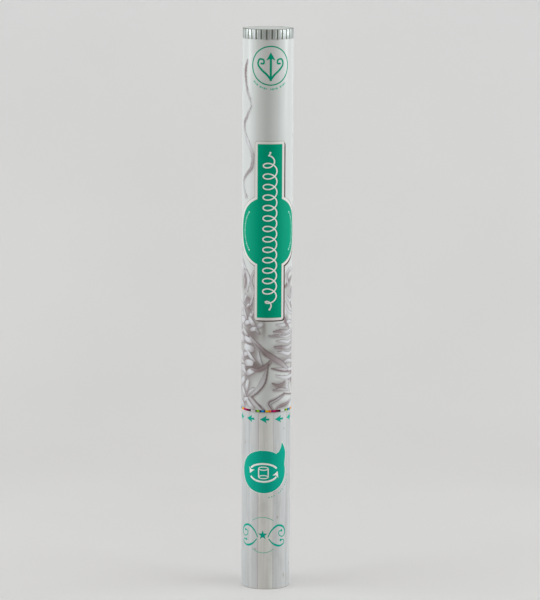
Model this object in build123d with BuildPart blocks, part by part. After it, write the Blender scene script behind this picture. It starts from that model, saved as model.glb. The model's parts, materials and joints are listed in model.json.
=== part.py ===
from build123d import *
import os

# A hand-held streamer cannon, fired by twisting its two tubes against each other.
# It stands on its grip: the origin is the centre of the foot, +Z runs up the tube to the muzzle,
# and the printed front faces -Y. All sizes are in millimetres.

os.makedirs("parts", exist_ok=True)

# ---- Driving dimensions -------------------------------------------------------------------
TOTAL_LENGTH = 600.0
GRIP_LENGTH = 193.0
SEAM_GAP = 0.4  # the slit between the grip and the barrel
CAP_HEAD = 10.5  # the height of the muzzle cap that shows above the barrel

BARREL_R = 27.0  # over the printed wrap
GRIP_R = 26.25  # over the printed wrap
WRAP = 0.3  # the thickness of both wraps
TUBE_WALL = 2.2

FIT = 0.07  # radial clearance of a running fit
CLEAR = 0.3  # clearance between pieces that pass each other
SLIP = 0.05  # radial clearance of a push fit
PAST = 1.0  # how far a cut is carried past the face that it leaves

# ---- Tubes, worked out ---------------------------------------------------------------------
GRIP_TUBE_R = GRIP_R - WRAP
GRIP_BORE_R = GRIP_TUBE_R - TUBE_WALL
BARREL_TUBE_R = BARREL_R - WRAP
BARREL_BORE_R = BARREL_TUBE_R - TUBE_WALL
BARREL_FOOT_Z = GRIP_LENGTH + SEAM_GAP
BARREL_TOP_Z = TOTAL_LENGTH - CAP_HEAD
WRAP_FOOT_Z = 0.4  # the grip's wrap is trimmed just short of the table

# ---- Foot of the grip ----------------------------------------------------------------------
PLUG_Z = 1.5  # the plug sits a little inside the tube's rim
PLUG_DEPTH = 12.5
PLUG_FLOOR = 2.5
PLUG_WALL = 2.0
PLUG_RIBS = 3
PLUG_RIB = 1.6
PLUG_RIB_DROP = 4.0  # the ribs stop this far under the plug's rim
PLUG_EDGE = 0.8
RECESS_R = 15.0
RECESS_CORE_R = 5.0
RECESS = 0.8
CRADLE_Z = PLUG_Z + PLUG_DEPTH
CRADLE_FLOOR = 2.0
CRADLE_DEPTH = 16.0
CRADLE_LIP = 0.8
FILL_HOLE_R = 8.0

# ---- Air cylinder --------------------------------------------------------------------------
CYLINDER_R = 21.0
CYLINDER_WALL = 1.2
CYLINDER_Z = CRADLE_Z + CRADLE_FLOOR
SHOULDER_Z = 141.0
NECK_Z = 150.0
NECK_TOP_Z = 160.0
NECK_R = 11.0
NECK_BORE_R = 6.5
NECK_ROOF = 1.5
FOOT_ROUND = 5.0
SHOULDER_ROUND = 6.0
NECK_INNER_ROUND = 0.8
FILL_VALVE_R = 4.0
FILL_VALVE_DEPTH = 9.0
FILL_FLANGE_R = 6.0
FILL_FLANGE = 1.0
FILL_BORE_R = 1.2
COLLAR_TOP = 3.5
COLLAR_GAP = 0.5

# ---- Valve and its cam ---------------------------------------------------------------------
GASKET = 1.0
SEAT_Z = NECK_TOP_Z + GASKET
SEAT_TOP_Z = SEAT_Z + 6.0
SEAT_R = 6.0
SEAT_LIP = 1.0
SKIRT_R = 14.0
SKIRT_Z = 155.0
TOWER_TOP_Z = 187.0
TOWER_BORE_R = 9.0
TOWER_R = 11.0

PIN_R = 1.5
PIN_Z = 173.5  # the cross pin, valve shut
PIN_EDGE = 0.25
POPPET_R = SEAT_R - SLIP
POPPET_Z = SEAT_Z - 0.5
POPPET_TOP_Z = SEAT_TOP_Z - 0.5
STEM_R = 2.5
STEM_TIP = 5.0  # above the pin
HUB_R = 4.5
HUB_HALF = 3.0
RING_Z = SEAT_Z + 2.5
RING_WIRE_R = 0.7
RING_GROOVE = 1.6
RING_SQUEEZE = 0.01
LIFT = 8.0  # of the valve, over the whole twist
TWIST = 90.0  # degrees
SLOT_W = 2 * (PIN_R + CLEAR)

CAM_BORE_R = TOWER_R + CLEAR
CAM_R = 14.0
CAM_Z = 168.0
CAM_FLANGE_R = 17.9
CAM_FLANGE = 1.5

# ---- Coupler between the tubes --------------------------------------------------------------
COUPLER_Z = 168.0
COUPLER_R = GRIP_BORE_R - FIT
COUPLER_TOP_Z = 218.0
COUPLER_BORE_R = 20.0
WEB_Z = 186.0
WEB_TOP_Z = 189.0
LEDGE_R = 18.5
LEDGE_Z = 196.0
SOCKET_R = 21.0
GROOVE_Z = 176.0
GROOVE_TOP_Z = 180.0
GROOVE_R = 22.2
RETAINER_GAP = 0.2
RETAINER_SPLIT = 7.0
RETAINER_SPLIT_DEPTH = 6.0
COUPLER_EDGE = 0.8
SCREW_COUNT = 3
SCREW_CIRCLE_R = 16.0
SCREW_R = 0.9
SCREW_HEAD_R = 1.7
SCREW_HEAD = 1.3
SCREW_DEPTH = 2.4
DIFFUSER = 2.0
DIFFUSER_CENTRE_R = 2.5
DIFFUSER_HOLE_R = 1.6
DIFFUSER_CIRCLES = ((8.0, 8), (14.5, 14))  # the radius of each circle of holes, and how many

# ---- Payload -------------------------------------------------------------------------------
WAD_Z = COUPLER_TOP_Z + CLEAR
WAD_R = BARREL_BORE_R - CLEAR
WAD_HEIGHT = 14.0
WAD_EDGE = 1.0
SEAL_Z = WAD_Z + 5.0
SEAL_HEIGHT = 4.0
SEAL_INNER_R = 21.5
SEAL_EDGE = 0.4
ROLL_R = 9.9
ROLL_HOLE_R = 2.0
ROLL_HEIGHT = 18.0
ROLL_PITCH = 18.4
ROLLS_IN_LAYER = 4
LAYERS = 5
ROLL_CIRCLE_R = 14.1
ROLL_START = 45  # degrees
TOP_WAD = 1.5

# ---- Muzzle cap ----------------------------------------------------------------------------
SPIGOT_R = BARREL_BORE_R - 0.1
SPIGOT_DEPTH = 14.5
SPIGOT_WALL = 1.8
SPIGOT_EDGE = 0.8
CAP_ROOF = 2.4
CAP_DISH = 0.6
CAP_RIM = 2.2
FLUTES = 30
FLUTE_R = 0.9
FLUTE_OUT = 0.3  # the flutes' centres lie this far outside the cap's radius


# ---- Grip ----------------------------------------------------------------------------------
with BuildPart() as grip_tube:
    with BuildSketch(Plane.XY):
        Circle(GRIP_TUBE_R)
        Circle(GRIP_BORE_R, mode=Mode.SUBTRACT)
    extrude(amount=GRIP_LENGTH)
grip_tube.part.label = "grip_tube"
export_step(grip_tube.part, "parts/grip_tube.step")

with BuildPart() as grip_wrap:
    with BuildSketch(Plane.XY.offset(WRAP_FOOT_Z)):
        Circle(GRIP_R)
        Circle(GRIP_TUBE_R, mode=Mode.SUBTRACT)
    extrude(amount=GRIP_LENGTH - WRAP_FOOT_Z)
grip_wrap.part.label = "grip_wrap"
export_step(grip_wrap.part, "parts/grip_wrap.step")

with BuildPart() as base_plug:
    with BuildSketch(Plane.XY.offset(PLUG_Z)):
        Circle(GRIP_BORE_R)
    extrude(amount=PLUG_DEPTH)
    with BuildSketch(Plane.XY.offset(PLUG_Z + PLUG_FLOOR)):
        Circle(GRIP_BORE_R - PLUG_WALL)
    extrude(amount=PLUG_DEPTH - PLUG_FLOOR, mode=Mode.SUBTRACT)
    # Stiffening ribs under the cradle.
    with BuildSketch(Plane.XY.offset(PLUG_Z + PLUG_FLOOR)):
        with PolarLocations(0, PLUG_RIBS):
            Rectangle(2 * (GRIP_BORE_R - PLUG_WALL) + PAST, PLUG_RIB)
    extrude(amount=PLUG_DEPTH - PLUG_FLOOR - PLUG_RIB_DROP)
    # A shallow round recess in the underside, where the mould was fed.
    with BuildSketch(Plane.XY.offset(PLUG_Z)):
        Circle(RECESS_R)
        Circle(RECESS_CORE_R, mode=Mode.SUBTRACT)
    extrude(amount=RECESS, mode=Mode.SUBTRACT)
    foot_edges = base_plug.edges().filter_by(GeomType.CIRCLE).group_by(Axis.Z)[0]
    fillet(foot_edges.sort_by(SortBy.RADIUS)[-1], PLUG_EDGE)
base_plug.part.label = "base_plug"
export_step(base_plug.part, "parts/base_plug.step")

with BuildPart() as cylinder_cradle:
    with BuildSketch(Plane.XY.offset(CRADLE_Z)):
        Circle(GRIP_BORE_R)
    extrude(amount=CRADLE_DEPTH)
    with BuildSketch(Plane.XY.offset(CRADLE_Z + CRADLE_FLOOR)):
        Circle(CYLINDER_R + SLIP)
    extrude(amount=CRADLE_DEPTH, mode=Mode.SUBTRACT)
    with BuildSketch(Plane.XY.offset(CRADLE_Z)):
        Circle(FILL_HOLE_R)
    extrude(amount=CRADLE_FLOOR, mode=Mode.SUBTRACT)
    chamfer(cylinder_cradle.edges().group_by(Axis.Z)[-1].sort_by(SortBy.RADIUS)[0], CRADLE_LIP)
cylinder_cradle.part.label = "cylinder_cradle"
export_step(cylinder_cradle.part, "parts/cylinder_cradle.step")

with BuildPart() as air_cylinder:
    # The wall's section, from the filling hole out, up the side, over the shoulder and back down inside.
    with BuildSketch(Plane.XZ):
        with BuildLine():
            FilletPolyline(
                (FILL_VALVE_R, CYLINDER_Z),
                (CYLINDER_R, CYLINDER_Z),
                (CYLINDER_R, SHOULDER_Z),
                (NECK_R, NECK_Z),
                (NECK_R, NECK_TOP_Z),
                (NECK_BORE_R, NECK_TOP_Z),
                (NECK_BORE_R, NECK_Z - NECK_ROOF),
                (CYLINDER_R - CYLINDER_WALL, SHOULDER_Z - CYLINDER_WALL),
                (CYLINDER_R - CYLINDER_WALL, CYLINDER_Z + 2 * CYLINDER_WALL),
                (FILL_VALVE_R, CYLINDER_Z + 2 * CYLINDER_WALL),
                radius=[
                    0,
                    FOOT_ROUND,
                    SHOULDER_ROUND,
                    0,
                    0,
                    0,
                    NECK_INNER_ROUND,
                    SHOULDER_ROUND - CYLINDER_WALL,
                    FOOT_ROUND - CYLINDER_WALL,
                    0,
                ],
                close=True,
            )
        make_face()
    revolve(axis=Axis.Z)
air_cylinder.part.label = "air_cylinder"
export_step(air_cylinder.part, "parts/air_cylinder.step")

with BuildPart() as fill_valve:
    with BuildSketch(Plane.XY.offset(CYLINDER_Z - FILL_FLANGE)):
        Circle(FILL_FLANGE_R)
    extrude(amount=FILL_FLANGE)
    with BuildSketch(Plane.XY.offset(CYLINDER_Z)):
        Circle(FILL_VALVE_R)
    extrude(amount=FILL_VALVE_DEPTH)
    with BuildSketch(Plane.XY.offset(CYLINDER_Z - FILL_FLANGE)):
        Circle(FILL_BORE_R)
    extrude(amount=FILL_FLANGE + FILL_VALVE_DEPTH, mode=Mode.SUBTRACT)
fill_valve.part.label = "fill_valve"
export_step(fill_valve.part, "parts/fill_valve.step")

with BuildPart() as neck_collar:
    with BuildSketch(Plane.XY.offset(NECK_Z)):
        Circle(GRIP_BORE_R)
        Circle(NECK_R, mode=Mode.SUBTRACT)
    extrude(amount=COLLAR_TOP)
    with BuildSketch(Plane.XY.offset(SHOULDER_Z)):
        Circle(GRIP_BORE_R)
        Circle(CYLINDER_R + COLLAR_GAP, mode=Mode.SUBTRACT)
    extrude(amount=NECK_Z - SHOULDER_Z)
neck_collar.part.label = "neck_collar"
export_step(neck_collar.part, "parts/neck_collar.step")

with BuildPart() as neck_gasket:
    with BuildSketch(Plane.XY.offset(NECK_TOP_Z)):
        Circle(NECK_R)
        Circle(NECK_BORE_R, mode=Mode.SUBTRACT)
    extrude(amount=GASKET)
neck_gasket.part.label = "neck_gasket"
export_step(neck_gasket.part, "parts/neck_gasket.step")

with BuildPart() as valve_body:
    # The skirt round the bottle's neck, the seat, and the guide tower.
    with BuildSketch(Plane.XY.offset(SKIRT_Z)):
        Circle(SKIRT_R)
        Circle(NECK_R, mode=Mode.SUBTRACT)
    extrude(amount=SEAT_Z - SKIRT_Z)
    with BuildSketch(Plane.XY.offset(SEAT_Z)):
        Circle(SKIRT_R)
        Circle(SEAT_R, mode=Mode.SUBTRACT)
    extrude(amount=SEAT_TOP_Z - SEAT_Z - SEAT_LIP)
    with BuildSketch(Plane.XY.offset(SEAT_TOP_Z - SEAT_LIP)):
        Circle(TOWER_R)
        Circle(SEAT_R, mode=Mode.SUBTRACT)
    extrude(amount=SEAT_LIP)
    with BuildSketch(Plane.XY.offset(SEAT_TOP_Z)):
        Circle(TOWER_R)
        Circle(TOWER_BORE_R, mode=Mode.SUBTRACT)
    extrude(amount=TOWER_TOP_Z - SEAT_TOP_Z)
    # Two upright slots for the cross pin, which runs along X.
    with BuildSketch(Plane.YZ):
        with Locations((0, PIN_Z + LIFT / 2)):
            SlotCenterToCenter(LIFT, SLOT_W, rotation=90)
    extrude(amount=TOWER_R + PAST, both=True, mode=Mode.SUBTRACT)
valve_body.part.label = "valve_body"
export_step(valve_body.part, "parts/valve_body.step")

with BuildPart() as retainer_ring:
    with BuildSketch(Plane.XY.offset(GROOVE_Z + CLEAR)):
        Circle(GRIP_BORE_R)
        Circle(GROOVE_R + RETAINER_GAP, mode=Mode.SUBTRACT)
        # The split, at the back.
        with Locations((0, GRIP_BORE_R)):
            Rectangle(RETAINER_SPLIT, RETAINER_SPLIT_DEPTH, mode=Mode.SUBTRACT)
    extrude(amount=GROOVE_TOP_Z - GROOVE_Z - 2 * CLEAR)
retainer_ring.part.label = "retainer_ring"
export_step(retainer_ring.part, "parts/retainer_ring.step")

# ---- Barrel --------------------------------------------------------------------------------
with BuildPart() as barrel_tube:
    with BuildSketch(Plane.XY.offset(BARREL_FOOT_Z)):
        Circle(BARREL_TUBE_R)
        Circle(BARREL_BORE_R, mode=Mode.SUBTRACT)
    extrude(amount=BARREL_TOP_Z - BARREL_FOOT_Z)
barrel_tube.part.label = "barrel_tube"
export_step(barrel_tube.part, "parts/barrel_tube.step")

with BuildPart() as barrel_wrap:
    with BuildSketch(Plane.XY.offset(BARREL_FOOT_Z)):
        Circle(BARREL_R)
        Circle(BARREL_TUBE_R, mode=Mode.SUBTRACT)
    extrude(amount=BARREL_TOP_Z - BARREL_FOOT_Z)
barrel_wrap.part.label = "barrel_wrap"
export_step(barrel_wrap.part, "parts/barrel_wrap.step")

with BuildPart() as joint_coupler:
    with BuildSketch(Plane.XY.offset(COUPLER_Z)):
        Circle(COUPLER_R)
    extrude(amount=BARREL_FOOT_Z - COUPLER_Z)
    with BuildSketch(Plane.XY.offset(BARREL_FOOT_Z)):
        Circle(BARREL_BORE_R)
    extrude(amount=COUPLER_TOP_Z - BARREL_FOOT_Z)
    # The stepped bore, from below: bore, web, ledge, diffuser socket.
    for low, high, radius in (
        (COUPLER_Z, WEB_Z, COUPLER_BORE_R),
        (WEB_Z, WEB_TOP_Z, CAM_R),
        (WEB_TOP_Z, LEDGE_Z, LEDGE_R),
        (LEDGE_Z, COUPLER_TOP_Z, SOCKET_R),
    ):
        with BuildSketch(Plane.XY.offset(low)):
            Circle(radius)
        extrude(amount=high - low, mode=Mode.SUBTRACT)
    # The groove that the retainer ring runs in.
    with BuildSketch(Plane.XY.offset(GROOVE_Z)):
        Circle(COUPLER_R + PAST)
        Circle(GROOVE_R, mode=Mode.SUBTRACT)
    extrude(amount=GROOVE_TOP_Z - GROOVE_Z, mode=Mode.SUBTRACT)
    # Pilot holes for the cam's screws.
    with BuildSketch(Plane.XY.offset(WEB_TOP_Z)):
        with PolarLocations(SCREW_CIRCLE_R, SCREW_COUNT):
            Circle(SCREW_R)
    extrude(amount=-SCREW_DEPTH, mode=Mode.SUBTRACT)
    chamfer(joint_coupler.edges().group_by(Axis.Z)[0].sort_by(SortBy.RADIUS)[-1], COUPLER_EDGE)
joint_coupler.part.label = "joint_coupler"
export_step(joint_coupler.part, "parts/joint_coupler.step")

with BuildPart() as cam_sleeve:
    with BuildSketch(Plane.XY.offset(CAM_Z)):
        Circle(CAM_R)
        Circle(CAM_BORE_R, mode=Mode.SUBTRACT)
    extrude(amount=WEB_TOP_Z - CAM_Z)
    with BuildSketch(Plane.XY.offset(WEB_TOP_Z)):
        Circle(CAM_FLANGE_R)
        Circle(CAM_BORE_R, mode=Mode.SUBTRACT)
        with PolarLocations(SCREW_CIRCLE_R, SCREW_COUNT):
            Circle(SCREW_R, mode=Mode.SUBTRACT)
    extrude(amount=CAM_FLANGE)
    # Two helical slots. The helix climbs clockwise, so that turning the sleeve the other way lifts the pin.
    mid_r = (CAM_BORE_R + CAM_R) / 2
    with BuildLine() as climb:
        Helix(LIFT * 360 / TWIST, LIFT, mid_r, center=(0, 0, PIN_Z), lefthand=True)
    start = Plane(origin=climb.line @ 0, x_dir=(1, 0, 0), z_dir=climb.line % 0)
    with BuildSketch(start):
        Rectangle(2 * (CAM_R - CAM_BORE_R), SLOT_W)
    slot_core = sweep(path=climb.line, is_frenet=True, mode=Mode.PRIVATE)
    add(slot_core, mode=Mode.SUBTRACT)
    add(slot_core.rotate(Axis.Z, 180), mode=Mode.SUBTRACT)
    # The round ends of the slots.
    for turned, height in ((0, PIN_Z), (-TWIST, PIN_Z + LIFT)):
        across = Plane.YZ.rotated((0, 0, turned))
        with BuildSketch(across):
            with Locations((0, height)):
                Circle(SLOT_W / 2)
        extrude(amount=CAM_R + PAST, both=True, mode=Mode.SUBTRACT)
cam_sleeve.part.label = "cam_sleeve"
export_step(cam_sleeve.part, "parts/cam_sleeve.step")

with BuildPart() as cam_screws:
    with BuildSketch(Plane.XY.offset(WEB_TOP_Z + CAM_FLANGE)):
        with PolarLocations(SCREW_CIRCLE_R, SCREW_COUNT):
            Circle(SCREW_HEAD_R)
    extrude(amount=SCREW_HEAD)
    with BuildSketch(Plane.XY.offset(WEB_TOP_Z + CAM_FLANGE)):
        with PolarLocations(SCREW_CIRCLE_R, SCREW_COUNT):
            Circle(SCREW_R)
    extrude(amount=-(CAM_FLANGE + SCREW_DEPTH))
cam_screws.part.label = "cam_screws"
export_step(cam_screws.part, "parts/cam_screws.step")

with BuildPart() as diffuser_plate:
    with BuildSketch(Plane.XY.offset(LEDGE_Z)):
        Circle(SOCKET_R)
        Circle(DIFFUSER_CENTRE_R, mode=Mode.SUBTRACT)
        for circle_r, count in DIFFUSER_CIRCLES:
            with PolarLocations(circle_r, count):
                Circle(DIFFUSER_HOLE_R, mode=Mode.SUBTRACT)
    extrude(amount=DIFFUSER)
diffuser_plate.part.label = "diffuser_plate"
export_step(diffuser_plate.part, "parts/diffuser_plate.step")

# ---- Valve stem ----------------------------------------------------------------------------
with BuildPart() as valve_stem:
    for low, high, radius in (
        (POPPET_Z, POPPET_TOP_Z, POPPET_R),
        (POPPET_TOP_Z, PIN_Z - HUB_HALF, STEM_R),
        (PIN_Z - HUB_HALF, PIN_Z + HUB_HALF, HUB_R),
        (PIN_Z + HUB_HALF, PIN_Z + STEM_TIP, STEM_R),
    ):
        with BuildSketch(Plane.XY.offset(low)):
            Circle(radius)
        extrude(amount=high - low)
    with BuildSketch(Plane.XY.offset(RING_Z - RING_GROOVE / 2)):
        Circle(POPPET_R + PAST)
        Circle(POPPET_R - 2 * RING_WIRE_R, mode=Mode.SUBTRACT)
    extrude(amount=RING_GROOVE, mode=Mode.SUBTRACT)
    with BuildSketch(Plane.YZ):
        with Locations((0, PIN_Z)):
            Circle(PIN_R)
    extrude(amount=HUB_R + PAST, both=True, mode=Mode.SUBTRACT)
valve_stem.part.label = "valve_stem"
export_step(valve_stem.part, "parts/valve_stem.step")

with BuildPart() as stem_o_ring:
    with BuildSketch(Plane.XZ):
        with Locations((POPPET_R - RING_WIRE_R + RING_SQUEEZE, RING_Z)):
            Circle(RING_WIRE_R)
    revolve(axis=Axis.Z)
stem_o_ring.part.label = "stem_o_ring"
export_step(stem_o_ring.part, "parts/stem_o_ring.step")

with BuildPart() as cross_pin:
    with BuildSketch(Plane.YZ):
        with Locations((0, PIN_Z)):
            Circle(PIN_R)
    extrude(amount=CAM_R - CLEAR, both=True)
    chamfer(cross_pin.edges().filter_by(GeomType.CIRCLE), PIN_EDGE)
cross_pin.part.label = "cross_pin"
export_step(cross_pin.part, "parts/cross_pin.step")

# ---- Payload -------------------------------------------------------------------------------
with BuildPart() as pusher_wad:
    with BuildSketch(Plane.XY.offset(WAD_Z)):
        Circle(WAD_R)
    extrude(amount=WAD_HEIGHT)
    with BuildSketch(Plane.XY.offset(SEAL_Z)):
        Circle(WAD_R + PAST)
        Circle(SEAL_INNER_R, mode=Mode.SUBTRACT)
    extrude(amount=SEAL_HEIGHT, mode=Mode.SUBTRACT)
    fillet(pusher_wad.edges().group_by(Axis.Z)[0], WAD_EDGE)
pusher_wad.part.label = "pusher_wad"
export_step(pusher_wad.part, "parts/pusher_wad.step")

with BuildPart() as wad_seal:
    with BuildSketch(Plane.XY.offset(SEAL_Z)):
        Circle(BARREL_BORE_R - FIT)
        Circle(SEAL_INNER_R, mode=Mode.SUBTRACT)
    extrude(amount=SEAL_HEIGHT)
    chamfer(wad_seal.edges().filter_by(GeomType.CIRCLE).sort_by(SortBy.RADIUS)[-2:], SEAL_EDGE)
wad_seal.part.label = "wad_seal"
export_step(wad_seal.part, "parts/wad_seal.step")

ROLLS_Z = WAD_Z + WAD_HEIGHT
roll_places = PolarLocations(ROLL_CIRCLE_R, ROLLS_IN_LAYER, start_angle=ROLL_START).locations
for layer in range(LAYERS):
    for place in range(ROLLS_IN_LAYER):
        number = layer * ROLLS_IN_LAYER + place + 1
        name = f"streamer_roll_{number:02d}"
        centre = roll_places[place].position
        with BuildPart() as streamer_roll:
            with BuildSketch(Plane.XY.offset(ROLLS_Z + layer * ROLL_PITCH)):
                with Locations((centre.X, centre.Y)):
                    Circle(ROLL_R)
                    Circle(ROLL_HOLE_R, mode=Mode.SUBTRACT)
            extrude(amount=ROLL_HEIGHT)
        streamer_roll.part.label = name
        export_step(streamer_roll.part, f"parts/{name}.step")

with BuildPart() as top_wad:
    with BuildSketch(Plane.XY.offset(ROLLS_Z + LAYERS * ROLL_PITCH)):
        Circle(WAD_R)
    extrude(amount=TOP_WAD)
top_wad.part.label = "top_wad"
export_step(top_wad.part, "parts/top_wad.step")

# ---- Muzzle cap ----------------------------------------------------------------------------
with BuildPart() as muzzle_cap:
    with BuildSketch(Plane.XY.offset(BARREL_TOP_Z - SPIGOT_DEPTH)):
        Circle(SPIGOT_R)
    extrude(amount=SPIGOT_DEPTH)
    with BuildSketch(Plane.XY.offset(BARREL_TOP_Z)):
        Circle(BARREL_R)
        with PolarLocations(BARREL_R + FLUTE_OUT, FLUTES):
            Circle(FLUTE_R, mode=Mode.SUBTRACT)
    extrude(amount=CAP_HEAD)
    # The hollow underside.
    with BuildSketch(Plane.XY.offset(BARREL_TOP_Z - SPIGOT_DEPTH)):
        Circle(SPIGOT_R - SPIGOT_WALL)
    extrude(amount=SPIGOT_DEPTH + CAP_HEAD - CAP_ROOF - CAP_DISH, mode=Mode.SUBTRACT)
    # The shallow dish in the top.
    with BuildSketch(Plane.XY.offset(TOTAL_LENGTH)):
        Circle(BARREL_R - CAP_RIM)
    extrude(amount=-CAP_DISH, mode=Mode.SUBTRACT)
    spigot_edges = muzzle_cap.edges().filter_by(GeomType.CIRCLE).group_by(Axis.Z)[0]
    chamfer(spigot_edges.sort_by(SortBy.RADIUS)[-1], SPIGOT_EDGE)
muzzle_cap.part.label = "muzzle_cap"
export_step(muzzle_cap.part, "parts/muzzle_cap.step")
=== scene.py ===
import json
from math import asin, ceil, cos, degrees, exp, hypot, pi, radians, sin

import bpy
import numpy as np
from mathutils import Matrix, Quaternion, Vector
from mathutils.geometry import delaunay_2d_cdt


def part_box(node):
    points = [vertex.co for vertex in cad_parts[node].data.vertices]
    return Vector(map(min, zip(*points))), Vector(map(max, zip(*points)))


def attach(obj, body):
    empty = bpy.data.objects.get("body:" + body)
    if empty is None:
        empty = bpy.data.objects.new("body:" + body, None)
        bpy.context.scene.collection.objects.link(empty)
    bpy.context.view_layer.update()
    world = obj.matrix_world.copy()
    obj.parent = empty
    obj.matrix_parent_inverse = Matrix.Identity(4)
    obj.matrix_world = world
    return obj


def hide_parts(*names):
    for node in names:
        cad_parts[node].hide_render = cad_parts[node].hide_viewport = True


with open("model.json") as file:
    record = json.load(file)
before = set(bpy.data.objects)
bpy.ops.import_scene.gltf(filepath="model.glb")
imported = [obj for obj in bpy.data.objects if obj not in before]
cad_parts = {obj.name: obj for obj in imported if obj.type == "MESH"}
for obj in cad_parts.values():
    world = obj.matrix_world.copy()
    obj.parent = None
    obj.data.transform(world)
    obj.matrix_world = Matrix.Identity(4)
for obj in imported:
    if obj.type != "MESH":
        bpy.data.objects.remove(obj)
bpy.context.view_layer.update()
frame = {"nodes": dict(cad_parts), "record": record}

# The model is in metres. Everything printed is laid out in millimetres on the unrolled wrap:
# u runs round the tube to the viewer's right, 0 at the front, and z runs up from the foot.
MM = 0.001


def srgb(r, g, b):
    """A colour given as screen values from 0 to 255, as linear numbers."""
    out = []
    for c in (r, g, b):
        c /= 255
        out.append(c / 12.92 if c <= 0.04045 else ((c + 0.055) / 1.055) ** 2.4)
    return tuple(out)


# ---- Colours of the print ----
GREEN = srgb(0, 153, 120)
GRIP_GREEN = srgb(0, 164, 142)
WHITE = srgb(238, 236, 233)
RIM = srgb(223, 220, 217)
PAPER = srgb(206, 208, 206)
SHADOW = srgb(84, 66, 62)
SOFT_SHADOW = srgb(172, 167, 163)
FAINT_GREEN = srgb(104, 182, 160)

# ---- The frame's own sizes ----
wrap_low, wrap_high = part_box("barrel_wrap")
grip_low, grip_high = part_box("grip_wrap")
cap_low, cap_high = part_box("muzzle_cap")
tube_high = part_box("barrel_tube")[1]
BARREL_R = wrap_high.x / MM
BARREL_Z = (wrap_low.z / MM, wrap_high.z / MM)
GRIP_R = grip_high.x / MM
GRIP_Z = (grip_low.z / MM, grip_high.z / MM)


# ---- Materials ----
class Tree:
    """A short way to write a material's node tree."""

    def __init__(self, name):
        self.material = bpy.data.materials.new(name)
        self.material.use_nodes = True
        self.tree = self.material.node_tree
        self.tree.nodes.clear()
        self.shader = self.node("BsdfPrincipled")
        out = self.node("OutputMaterial")
        self.link(self.shader.outputs[0], out.inputs["Surface"])

    def node(self, kind, **settings):
        made = self.tree.nodes.new("ShaderNode" + kind)
        for key, value in settings.items():
            setattr(made, key, value)
        return made

    def link(self, source, target):
        self.tree.links.new(source, target)

    def set(self, **values):
        """Sets the shader's own sockets; an underscore stands for a space."""
        for key, value in values.items():
            socket = self.shader.inputs[key.replace("_", " ")]
            if hasattr(value, "is_linked"):
                self.link(value, socket)
            elif isinstance(value, tuple) and len(value) == 3:
                socket.default_value = (*value, 1)
            else:
                socket.default_value = value

    def math(self, operation, a, b=0.0, clamp=False):
        made = self.node("Math", operation=operation, use_clamp=clamp)
        for socket, value in zip(made.inputs, (a, b)):
            if isinstance(value, (int, float)):
                socket.default_value = value
            else:
                self.link(value, socket)
        return made.outputs[0]

    def mix(self, factor, a, b, blend="MIX"):
        made = self.node("Mix", data_type="RGBA", blend_type=blend)
        for socket, value in ((made.inputs[0], factor), (made.inputs[6], a), (made.inputs[7], b)):
            if isinstance(value, (int, float)):
                socket.default_value = value
            elif isinstance(value, tuple):
                socket.default_value = (*value[:3], 1)
            else:
                self.link(value, socket)
        return made.outputs[2]

    def times(self, a, b):
        return self.mix(1.0, a, b, "MULTIPLY")

    def position(self, scale=(1, 1, 1)):
        """The place in the row frame, in metres, stretched by scale."""
        place = self.node("TexCoord").outputs["Object"]
        mapping = self.node("Mapping")
        mapping.inputs["Scale"].default_value = scale
        self.link(place, mapping.inputs["Vector"])
        return mapping.outputs[0]

    def noise(self, scale, detail=4.0, roughness=0.55, stretch=(1, 1, 1)):
        made = self.node("TexNoise")
        made.inputs["Scale"].default_value = scale
        made.inputs["Detail"].default_value = detail
        made.inputs["Roughness"].default_value = roughness
        self.link(self.position(stretch), made.inputs["Vector"])
        return made.outputs["Fac"]

    def ramp(self, factor, stops):
        made = self.node("ValToRGB")
        ramp = made.color_ramp
        while len(ramp.elements) < len(stops):
            ramp.elements.new(0.5)
        for element, (place, colour) in zip(ramp.elements, stops):
            element.position = place
            if isinstance(colour, (int, float)):
                colour = (colour, colour, colour)
            element.color = (*colour, 1)
        self.link(factor, made.inputs[0])
        return made.outputs[0]

    def mottle(self, low, high, *noise):
        """From low to high, as a noise says; the other values are those of noise()."""
        return self.ramp(self.noise(*noise), [(0.3, low), (0.7, high)])

    def bump(self, height, strength, distance):
        made = self.node("Bump")
        made.inputs["Strength"].default_value = strength
        made.inputs["Distance"].default_value = distance
        self.link(height, made.inputs["Height"])
        self.link(made.outputs[0], self.shader.inputs["Normal"])


def barrel_print():
    """Printed paper under a gloss laminate: the picture is in the Ink attribute."""
    t = Tree("barrel_print")
    ink = t.node("Attribute", attribute_name="Ink")
    fibre = t.mottle(0.955, 1.0, 900, 3, 0.6)
    cloud = t.mottle(0.97, 1.0, 14, 2, 0.5)
    colour = t.times(t.times(ink.outputs["Color"], fibre), cloud)
    rough = t.mottle(0.27, 0.36, 60, 3, 0.6)
    gloss = t.math("MULTIPLY", ink.outputs["Alpha"], 0.48)
    t.set(Base_Color=colour, Roughness=rough, Specular_IOR_Level=0.04, Coat_Weight=gloss,
          Coat_Roughness=0.2)
    ripple = t.math("ADD", t.math("MULTIPLY", t.noise(38, 2, 0.5, (1, 1, 0.35)), 0.8), t.noise(420, 2, 0.5))
    t.bump(ripple, 0.05, 0.0006)
    return t.material


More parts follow.
